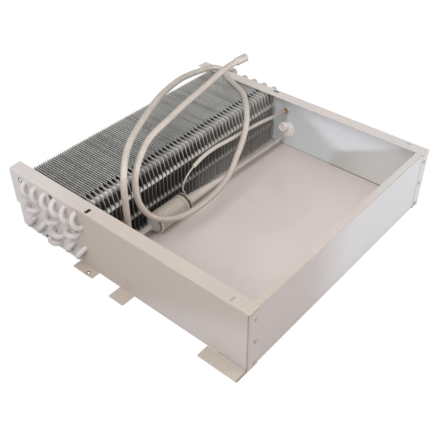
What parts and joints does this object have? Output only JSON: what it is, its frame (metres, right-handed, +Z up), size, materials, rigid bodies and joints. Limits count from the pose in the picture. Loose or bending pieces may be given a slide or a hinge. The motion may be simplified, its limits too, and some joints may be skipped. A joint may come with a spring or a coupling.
{
  "type": "refrigerator evaporator",
  "caption": "Finned tube-and-plate refrigerator evaporator coil in a shallow open sheet-metal tray, with accumulator, capillary feed and looped suction line.",
  "frame": {"origin": "middle of the tray's underside, between the side plates and half way from the front wall to the back", "axes": "+X along the coil tubes to the plate with the ports, +Y from the front wall to the open back, +Z up"},
  "size_m": [0.5624, 0.5138, 0.1982],
  "materials": {
    "casing": "satin off-white",
    "fins": "mill finish",
    "coil_tube": "dull drawn tube",
    "line_tube": "dull drawn tube",
    "vessel": "dull spun shell",
    "dark_ring": "dark brazed seam",
    "collar": "dull",
    "braze": "brazing alloy",
    "grommet": "matt grey",
    "rivets": "satin"
  },
  "bodies": {
    "evaporator": {"accumulator_band": "vessel", "accumulator_can": "vessel", "accumulator_cap": "vessel", "accumulator_cone": "vessel", "accumulator_elbow": "line_tube", "accumulator_ring": "dark_ring", "braze_ring": "braze", "capillary_tube": "line_tube", "connecting_pipe": "line_tube", "floor_pan": "casing", "front_wall": "casing", "grommet_hub": "grommet", "hairpin_01": "coil_tube", "hairpin_02": "coil_tube", "hairpin_03": "coil_tube", "hairpin_04": "coil_tube", "hairpin_05": "coil_tube", "hairpin_06": "coil_tube", "hairpin_07": "coil_tube", "hairpin_08": "coil_tube", "hairpin_09": "coil_tube", "hairpin_10": "coil_tube", "hairpin_11": "coil_tube", "hairpin_12": "coil_tube", "hairpin_13": "coil_tube", "hairpin_14": "coil_tube", "hairpin_15": "coil_tube", "inlet_collar": "collar", "inlet_jumper": "coil_tube", "inlet_sleeve": "line_tube", "left_side_plate": "casing", "long_fins": "fins", "outlet_jumper": "coil_tube", "pipe_grommet": "grommet", "return_bend_01": "coil_tube", "return_bend_02": "coil_tube", "return_bend_03": "coil_tube", "return_bend_04": "coil_tube", "return_bend_05": "coil_tube", "return_bend_06": "coil_tube", "return_bend_07": "coil_tube", "return_bend_08": "coil_tube", "return_bend_09": "coil_tube", "return_bend_10": "coil_tube", "return_bend_11": "coil_tube", "return_bend_12": "coil_tube", "return_bend_13": "coil_tube", "return_bend_14": "coil_tube", "right_side_plate": "casing", "rivets_left": "rivets", "rivets_right": "rivets", "short_fins": "fins", "suction_line": "line_tube"}
  },
  "joints": []
}
